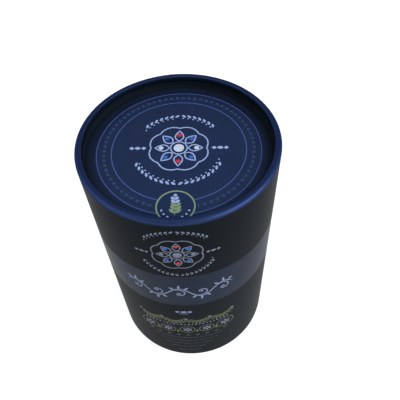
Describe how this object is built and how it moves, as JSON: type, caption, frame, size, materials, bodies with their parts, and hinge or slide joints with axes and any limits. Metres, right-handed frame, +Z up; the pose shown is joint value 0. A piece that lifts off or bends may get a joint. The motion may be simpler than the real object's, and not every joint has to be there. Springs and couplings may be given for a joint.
{
  "type": "cylindrical tube box",
  "caption": "Upright round paper tube box with a rolled rim, a recessed end and a lift-off lid that slides over an inner neck.",
  "frame": {"origin": "centre of the foot, in the plane the box stands on", "axes": "+Z up the tube towards the lid; the printed front faces -Y, the wrap's lap seam is at +Y"},
  "size_m": [0.1, 0.1001, 0.159],
  "materials": {
    "greyboard": "raw wound board",
    "wrap_paper": "matt laminated print",
    "end_card": "matt laminated print",
    "liner_paper": "uncoated",
    "neck_paper": "matt",
    "foil_paper": "satin foil on paper"
  },
  "bodies": {
    "base": {"base_board_tube": "greyboard", "base_wrap": "wrap_paper", "base_liner": "liner_paper", "base_end_panel": "end_card", "base_backing_disc": "greyboard", "neck_board_tube": "greyboard", "neck_wrap": "neck_paper", "neck_foil_liner": "foil_paper", "floor_foil_disc": "foil_paper"},
    "lid": {"lid_board_tube": "greyboard", "lid_wrap": "wrap_paper", "lid_liner": "liner_paper", "lid_end_panel": "end_card", "lid_backing_disc": "greyboard", "lid_liner_disc": "liner_paper"}
  },
  "joints": [
    {"name": "lid_lift", "type": "slide", "parent": "base", "child": "lid", "axis": [0, 0, 1], "range_m": [0, 0.09]}
  ]
}
